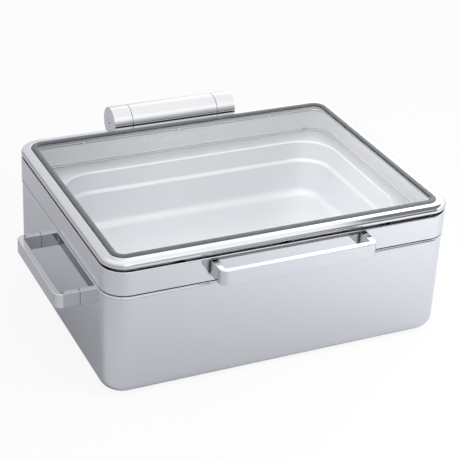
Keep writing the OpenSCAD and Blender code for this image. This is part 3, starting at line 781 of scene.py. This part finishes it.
class DISH_OT_window(bpy.types.Operator):
    """Mould the silicone channel, and set the pane in it"""

    bl_idname = "dish.window"
    bl_label = "Window"

    def execute(self, context):
        sizes = context.scene.dish_sizes
        centre = lid_corner(sizes)
        outer = GASKET_HIGH.x - centre[0]
        inner = outer - sizes.gasket
        slot = outer - sizes.gasket_web
        gasket = sweep("window_channel", centre, (outer - sizes.gasket_foot, GASKET_LOW.z), [
            ("bend", 0, 45), ("out_to", outer), ("bend", 0, 45), ("up_to", GLASS_HIGH.z + sizes.slack),
            ("bend", sizes.gasket_side, 75), ("bend", sizes.gasket_top, 30),
            ("bend", sizes.gasket_side, 75), ("bend", 0, 90), ("out_to", slot),
            ("bend", 0, -90), ("up_to", GLASS_LOW.z - sizes.slack), ("bend", 0, -90),
            ("out_to", inner + sizes.gasket_lip), ("bend", 0, 90), ("up_to", GASKET_LOW.z),
            ("bend", 0, 90), ("out_to", outer - sizes.gasket_foot)])
        outward(gasket, (GASKET_HIGH.x, 0, GLASS_LOW.z), (1, 0, 0))
        soften(gasket, sizes.burr)
        smooth(gasket)
        fit(gasket, "lid", "silicone", "window_gasket")

        radius = GLASS_HIGH.x - centre[0]
        middle = (GLASS_LOW.z + GLASS_HIGH.z) / 2
        pane = begin(bpy.ops.mesh.primitive_cube_add, "window_pane", scale=GLASS_HIGH - GLASS_LOW, size=1,
                     location=(GLASS_LOW + GLASS_HIGH) / 2)
        edit(pane)
        pick(pane, "EDGE", lambda at, edge: abs(at.z - middle) < NEAR)
        bpy.ops.mesh.bevel(offset=radius, segments=20, affect="EDGES")
        leave()
        soften(pane, sizes.glass_edge)
        smooth(pane)
        fit(pane, "lid", "window", "window_glass")
        return {"FINISHED"}


def rod(name, low, high, radius, edge=0.0, vertices=96):
    """A round bar along X on the hinge's axis, with rounded ends."""
    piece = begin(bpy.ops.mesh.primitive_cylinder_add, name, vertices=vertices, radius=radius,
                  depth=high - low, location=((low + high) / 2, HINGE_Y, HINGE_Z),
                  rotation=(0, math.pi / 2, 0))
    if edge:
        soften(piece, edge, 3)
    return piece


class DISH_OT_hinge(bpy.types.Operator):
    """Turn the hinge's barrel and its two posts, and the screws in its ends"""

    bl_idname = "dish.hinge"
    bl_label = "Hinge"

    def execute(self, context):
        sizes = context.scene.dish_sizes
        end = BARREL_HIGH.x
        barrel = rod("barrel_tube", -end, end, HINGE_R, sizes.barrel_edge)
        low = Vector((-sizes.pad / 2, BARREL_LOW.y, BARREL_LOW.z))
        high = Vector((sizes.pad / 2, HINGE_Y - HINGE_R / 3, SKIRT_HIGH.z - sizes.sheet))
        pad = begin(bpy.ops.mesh.primitive_cube_add, "barrel_pad", scale=high - low, size=1,
                    location=(low + high) / 2)
        soften(pad, sizes.post_edge / 2, 3)
        combine(barrel, pad, "UNION")
        bore = rod("barrel_bore", -end - MM, end + MM, HINGE_R - sizes.tube)
        combine(barrel, bore, "DIFFERENCE")
        smooth(barrel)
        fit(barrel, "lid", "polished_bar", "hinge_barrel")

        front = POST_LOW.y
        foot = POST_LOW.z
        foot_top = foot + sizes.post_foot_height
        spread = 0.6 * HINGE_R
        step = SKIRT_HIGH.y + sizes.post_room
        outline = [(front, foot_top - (step - front)), (step, foot_top), (step, HINGE_Z - spread),
                   (HINGE_Y, HINGE_Z), (HINGE_Y + spread, HINGE_Z - spread),
                   (front + sizes.post_foot, foot + sizes.post_foot),
                   (front + sizes.post_foot / 2, foot)]
        near, far = POST_LOW.x, POST_HIGH.x
        seat = far - sizes.pin_head_depth
        post = point("post_right", (near + sizes.post_inset, front, foot))
        last = Vector((front, foot))
        for place in outline:
            bpy.ops.mesh.extrude_vertices_move(TRANSFORM_OT_translate={
                "value": (0, place[0] - last.x, place[1] - last.y)})
            last = Vector(place)
        take_all()
        bpy.ops.mesh.edge_face_add()
        push((far - near - 2 * sizes.post_inset, 0, 0))
        leave()
        face_out(post)
        soften(post, sizes.post_edge, 3)
        knuckle = rod("post_knuckle", near, far, HINGE_R, sizes.barrel_edge)
        combine(post, knuckle, "UNION")
        for name, start, stop, radius in (
                ("post_bore", near - MM, PIN_HIGH.x, (PIN_HIGH.z - PIN_LOW.z) / 2 + sizes.pin_fit),
                ("post_hole", near - MM, far + MM, sizes.pin_shank / 2 + sizes.screw_room),
                ("post_recess", seat, far + MM, sizes.pin_head / 2 + sizes.screw_room)):
            combine(post, rod(name, start, stop, radius), "DIFFERENCE")
        smooth(post)
        activate(post)
        bpy.ops.object.duplicate()
        twin = bpy.context.active_object
        twin.name = "post_left"
        twin.scale.x = -1
        settle()
        face_out(twin)
        smooth(twin)
        fit(post, "base", "polished_bar", "hinge_post_right")
        fit(twin, "base", "polished_bar", "hinge_post_left")

        screw = rod("pin_screw", seat, far, sizes.pin_head / 2, sizes.barrel_edge, 64)
        edit(screw)
        pick(screw, "FACE", lambda at, face: face.normal.x < -0.9 and len(face.verts) > 4)
        bpy.ops.mesh.inset(thickness=(sizes.pin_head - sizes.pin_shank) / 2 - sizes.barrel_edge)
        push((PIN_HIGH.x - sizes.pin_reach - seat, 0, 0))
        leave()
        socket = rod("pin_socket", far - sizes.pin_hex_depth, far + MM, sizes.pin_hex / 2, 0.0, 6)
        combine(screw, socket, "DIFFERENCE")
        smooth(screw)

        half_turn = (Matrix.Translation((0, HINGE_Y, 0)) @ Matrix.Rotation(math.pi, 4, "Z")
                     @ Matrix.Translation((0, -HINGE_Y, 0)))
        screws = copies("pin_socket_screws", screw, [Matrix(), half_turn])
        fit(screws, "base", "fastener_steel", "pin_screws")
        return {"FINISHED"}


def domed_screw(name, head, depth, shank, reach):
    """A screw along +Z whose domed head, with a hex socket, hangs under its seat on z = 0."""
    dome, socket_r, socket_h = 0.6 * depth, 0.3 * head, 1.2 * depth
    screw = begin(bpy.ops.mesh.primitive_cylinder_add, name, vertices=48, radius=head / 2, depth=depth,
                  location=(0, 0, -depth / 2))
    edit(screw)
    pick(screw, "EDGE", lambda at, edge: abs(at.z + depth) < NEAR)
    bpy.ops.mesh.bevel(offset=dome, segments=6, affect="EDGES")
    pick(screw, "FACE", lambda at, face: abs(at.z) < NEAR)
    bpy.ops.mesh.inset(thickness=(head - shank) / 2)
    push((0, 0, reach))
    leave()
    socket = begin(bpy.ops.mesh.primitive_cylinder_add, name + "_socket", vertices=6, radius=socket_r,
                   depth=socket_h, location=(0, 0, -depth))
    combine(screw, socket, "DIFFERENCE")
    smooth(screw)
    return screw


class DISH_OT_screws(bpy.types.Operator):
    """Turn the screws that show inside the open lid, and copy each to its places"""

    bl_idname = "dish.screws"
    bl_label = "Lid screws"

    def execute(self, context):
        sizes = context.scene.dish_sizes
        seat = SKIRT_HIGH.z - sizes.sheet
        depth = seat - CROWN_SCREWS_LOW.z
        screw = domed_screw("crown_screw", sizes.crown_head, depth, sizes.crown_shank,
                            CROWN_SCREWS_HIGH.z - seat)
        crown = copies("crown_screws", screw, [
            Matrix.Translation((x, y, seat)) for x, y in crown_places(sizes)])
        fit(crown, "lid", "fastener_steel", "frame_screws")

        # The barrel's screws stand at 0.38 and 0.14 of its pad's width from the middle.
        pair = 0.14 / 0.38
        depth = sizes.row_head
        for name, node, low, high, turn, spread in (
                ("front_bar_screws", "front_handle_screws", FRONT_SCREWS_LOW, FRONT_SCREWS_HIGH, 1, (-1, 1)),
                ("barrel_pad_screws", "barrel_screws", BARREL_SCREWS_LOW, BARREL_SCREWS_HIGH, -1,
                 (-1, -pair, pair, 1))):
            head = high.z - low.z
            seat = high.y - depth if turn > 0 else low.y + depth
            reach = abs((low.y if turn > 0 else high.y) - seat)
            row = high.x - head / 2
            screw = domed_screw(name + "_one", head, depth, sizes.row_shank, reach)
            stand = Matrix.Rotation(turn * math.pi / 2, 4, "X")
            row_of = copies(name, screw, [
                Matrix.Translation((s * row, seat, (low.z + high.z) / 2)) @ stand for s in spread])
            fit(row_of, "lid", "fastener_steel", node, finish="Rolled stainless strip")
        return {"FINISHED"}


# Studio: the floor's side in metres and the white in what the camera sees of it, the turn of the edge
# between the walls, the ways to the lit side and the soft box, the key lamp, and the sensor's width in mm.
FLOOR_SIZE, FLOOR_WHITE = 24.0, 0.9
WALL_SPLIT = math.radians(20)
LIT_SIDE = (0.8, 0.6, 0)
SOFT_BOX = (0.567, 0.676, 0.469)
LAMP_PLACE, LAMP_AIM, LAMP_SIZE = Vector((0.9, -0.9, 1.0)), Vector((0.35, -0.5, 0)), 0.8
SENSOR = 36.0


class DISH_OT_stage(bpy.types.Operator):
    """Set the pale floor, the soft studio light and the camera"""

    bl_idname = "dish.stage"
    bl_label = "Studio"

    def execute(self, context):
        studio = context.scene.dish_studio
        context.scene.view_settings.view_transform = "Standard"

        # Matt painted floor: pale, and nearly white to the camera with a trace of the dish's shadow.
        floor = begin(bpy.ops.mesh.primitive_plane_add, "studio_floor", size=FLOOR_SIZE,
                      location=(0, 0, PLATE_LOW.z))
        paint = bpy.data.materials.new("Matt pale floor paint")
        tree = bare(paint)
        ray = put(tree, "LightPath")
        shown = put(tree, "Math", {0: ray.outputs["Is Camera Ray"], 1: FLOOR_WHITE}, operation="MULTIPLY")
        matt = put(tree, "BsdfDiffuse", {"Color": studio.floor})
        glow = put(tree, "Emission", {"Color": linear("#FFFFFF"), "Strength": 1.0})
        both = put(tree, "MixShader", {0: shown, 1: matt, 2: glow})
        put(tree, "OutputMaterial", {"Surface": both})
        floor.data.materials.append(paint)

        # Studio: a shaded wall on the left, a lit one on the right and behind with a soft box in it, a
        # pale ceiling with a dark flag on its right, and a horizon in front that darkens to the right.
        world = bpy.data.worlds.new("Soft studio")
        context.scene.world = world
        tree = bare(world)
        way = put(tree, "TexCoord").outputs["Generated"]
        axes = put(tree, "SeparateXYZ", {"Vector": way})
        across = put(tree, "VectorMath", {
            0: way, 1: (math.cos(WALL_SPLIT), -math.sin(WALL_SPLIT), 0)}, operation="DOT_PRODUCT")
        side = put(tree, "MapRange", {
            "Value": across.outputs["Value"], "From Min": -0.04, "From Max": 0.05}, **SOFT)
        walls = put(tree, "MixRGB", {"Fac": side, "Color1": studio.left, "Color2": studio.right})
        overhead = put(tree, "MapRange", {
            "Value": axes.outputs["Z"], "From Min": 0.65, "From Max": 0.85}, **SOFT)
        room = put(tree, "MixRGB", {"Fac": overhead, "Color1": walls, "Color2": studio.ceiling})
        right = put(tree, "Math", {0: axes.outputs["X"], 1: 0.0}, operation="MAXIMUM")
        rise = put(tree, "Math", {0: right, 1: -0.6, 2: axes.outputs["Z"]}, operation="MULTIPLY_ADD")
        deep = put(tree, "MapRange", {
            "Value": axes.outputs["X"], "From Min": 0.41, "From Max": 0.47, "To Min": 0.36, "To Max": 0.12})
        dusk = put(tree, "MapRange", {
            "Value": rise, "From Min": -0.1, "From Max": 0.45, "To Min": deep}, **SOFT)
        back = put(tree, "VectorMath", {0: way, 1: LIT_SIDE}, operation="DOT_PRODUCT")
        past = put(tree, "MapRange", {
            "Value": back.outputs["Value"], "From Min": 0.05, "From Max": 0.35}, **SOFT)
        shade = put(tree, "Math", {0: dusk, 1: past}, operation="MAXIMUM")
        aside = put(tree, "MapRange", {
            "Value": axes.outputs["X"], "From Min": 0.445, "From Max": 0.475}, **SOFT)
        above = put(tree, "MapRange", {
            "Value": axes.outputs["Z"], "From Min": 0.5, "From Max": 0.65}, **SOFT)
        flag = put(tree, "Math", {0: aside, 1: above}, operation="MULTIPLY")
        flagged = put(tree, "MapRange", {"Value": flag, "To Min": 1.0, "To Max": 0.2})
        to_box = put(tree, "VectorMath", {0: way, 1: SOFT_BOX}, operation="DOT_PRODUCT")
        softbox = put(tree, "MapRange", {
            "Value": to_box.outputs["Value"], "From Min": 0.978, "From Max": 0.992, "To Min": studio.level,
            "To Max": 1.7 * studio.level}, **SOFT)
        dimmed = put(tree, "Math", {0: shade, 1: flagged}, operation="MULTIPLY")
        light = put(tree, "Math", {0: dimmed, 1: softbox}, operation="MULTIPLY")
        studio_light = put(tree, "Background", {"Color": room, "Strength": light})
        backdrop = put(tree, "Background", {"Color": linear("#FFFFFF"), "Strength": 1.0})
        ray = put(tree, "LightPath")
        seen = put(tree, "Math", {
            0: ray.outputs["Is Camera Ray"], 1: ray.outputs["Is Transmission Ray"]}, operation="MAXIMUM")
        both = put(tree, "MixShader", {0: seen, 1: studio_light, 2: backdrop})
        put(tree, "OutputWorld", {"Surface": both})

        bpy.ops.object.select_all(action="DESELECT")
        bpy.ops.object.light_add(type="AREA", location=LAMP_PLACE)
        lamp = bpy.context.active_object
        lamp.name = "key_lamp"
        lamp.data.size = LAMP_SIZE
        lamp.data.energy = studio.key
        lamp.visible_camera = False
        lamp.visible_glossy = False
        lamp.rotation_euler = (LAMP_AIM - LAMP_PLACE).to_track_quat("-Z", "Y").to_euler()

        bpy.ops.object.camera_add()
        camera = bpy.context.active_object
        camera.data.sensor_width = SENSOR
        camera.data.lens = studio.lens
        camera.matrix_world = (Matrix.Translation(studio.eye) @ Matrix.Rotation(-studio.heading, 4, "Z")
                               @ Matrix.Rotation(math.pi / 2 - studio.dip, 4, "X")
                               @ Matrix.Rotation(studio.roll, 4, "Z"))
        context.scene.camera = camera
        return {"FINISHED"}


class DISH_PT_panel(bpy.types.Panel):
    """Sizes, colours and steps of the dish"""

    bl_idname = "DISH_PT_panel"
    bl_label = "Chafing dish"
    bl_space_type = "VIEW_3D"
    bl_region_type = "UI"
    bl_category = "Chafing dish"

    def draw(self, context):
        for group in (context.scene.dish_sizes, context.scene.dish_finishes, context.scene.dish_studio):
            box = self.layout.box()
            for name in group.__annotations__:
                box.prop(group, name)
        for step in STEPS:
            self.layout.operator("dish." + step)


STEPS = ("finishes", "base", "pan", "handles", "skirt", "crown", "window", "hinge", "screws", "stage")
CLASSES = (DishSizes, DishFinishes, DishStudio, DISH_OT_finishes, DISH_OT_base, DISH_OT_pan,
           DISH_OT_handles, DISH_OT_skirt, DISH_OT_crown, DISH_OT_window, DISH_OT_hinge, DISH_OT_screws,
           DISH_OT_stage, DISH_PT_panel)


def register():
    """Make the add-on's classes and the scene's three groups of settings known."""
    for item in CLASSES:
        bpy.utils.register_class(item)
    bpy.types.Scene.dish_sizes = bpy.props.PointerProperty(type=DishSizes)
    bpy.types.Scene.dish_finishes = bpy.props.PointerProperty(type=DishFinishes)
    bpy.types.Scene.dish_studio = bpy.props.PointerProperty(type=DishStudio)


def unregister():
    """Take back what register() did."""
    del bpy.types.Scene.dish_studio
    del bpy.types.Scene.dish_finishes
    del bpy.types.Scene.dish_sizes
    for item in reversed(CLASSES):
        bpy.utils.unregister_class(item)


def main():
    """Register the add-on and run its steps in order."""
    register()
    for step in STEPS:
        getattr(bpy.ops.dish, step)()


if __name__ == "__main__":
    main()
